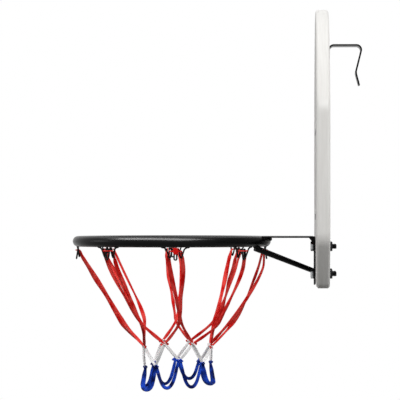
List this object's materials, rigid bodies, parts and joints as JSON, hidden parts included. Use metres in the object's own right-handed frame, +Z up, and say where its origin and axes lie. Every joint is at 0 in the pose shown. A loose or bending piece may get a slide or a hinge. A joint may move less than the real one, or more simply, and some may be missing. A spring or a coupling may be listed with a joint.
{
  "type": "door-hung basketball hoop",
  "caption": "Small basketball backboard with an arched top that hangs over a door on a bent strip hook, with a bolted black ring and a knotted red, white and blue net.",
  "frame": {"origin": "middle of the door hook's seat, the underside of its top run, where it rests on the door's top edge", "axes": "+X the player's right, +Y from the player to the door, +Z up"},
  "size_m": [0.45, 0.361, 0.4728],
  "materials": {
    "white_board": "fibreboard, white satin foil",
    "white_trim": "white edge band, satin",
    "black_steel": "black powder coat",
    "zinc_steel": "zinc plated",
    "dark_steel": "dark plated",
    "red_cord": "flat braided cord",
    "white_cord": "flat braided cord",
    "blue_cord": "flat braided cord"
  },
  "bodies": {
    "root": {"board_panel": "white_board", "edge_trim": "white_trim", "door_hook": "black_steel", "hook_screws": "zinc_steel", "rim_ring": "black_steel", "rim_bracket": "black_steel", "rim_bolts": "zinc_steel", "rim_nuts": "dark_steel", "brace_rod_left": "black_steel", "brace_rod_right": "black_steel", "net_hook_1": "black_steel", "net_hook_2": "black_steel", "net_hook_3": "black_steel", "net_hook_4": "black_steel", "net_hook_5": "black_steel", "net_hook_6": "black_steel", "net_hook_7": "black_steel", "net_hook_8": "black_steel", "net_upper_knots": "white_cord", "net_lower_knots": "blue_cord", "net_red_cord_1": "red_cord", "net_red_cord_2": "red_cord", "net_red_cord_3": "red_cord", "net_red_cord_4": "red_cord", "net_red_cord_5": "red_cord", "net_red_cord_6": "red_cord", "net_red_cord_7": "red_cord", "net_red_cord_8": "red_cord", "net_white_cord_1": "white_cord", "net_white_cord_2": "white_cord", "net_white_cord_3": "white_cord", "net_white_cord_4": "white_cord", "net_white_cord_5": "white_cord", "net_white_cord_6": "white_cord", "net_white_cord_7": "white_cord", "net_white_cord_8": "white_cord", "net_blue_cord_1": "blue_cord", "net_blue_cord_2": "blue_cord", "net_blue_cord_3": "blue_cord", "net_blue_cord_4": "blue_cord", "net_blue_cord_5": "blue_cord", "net_blue_cord_6": "blue_cord", "net_blue_cord_7": "blue_cord", "net_blue_cord_8": "blue_cord"}
  },
  "joints": []
}
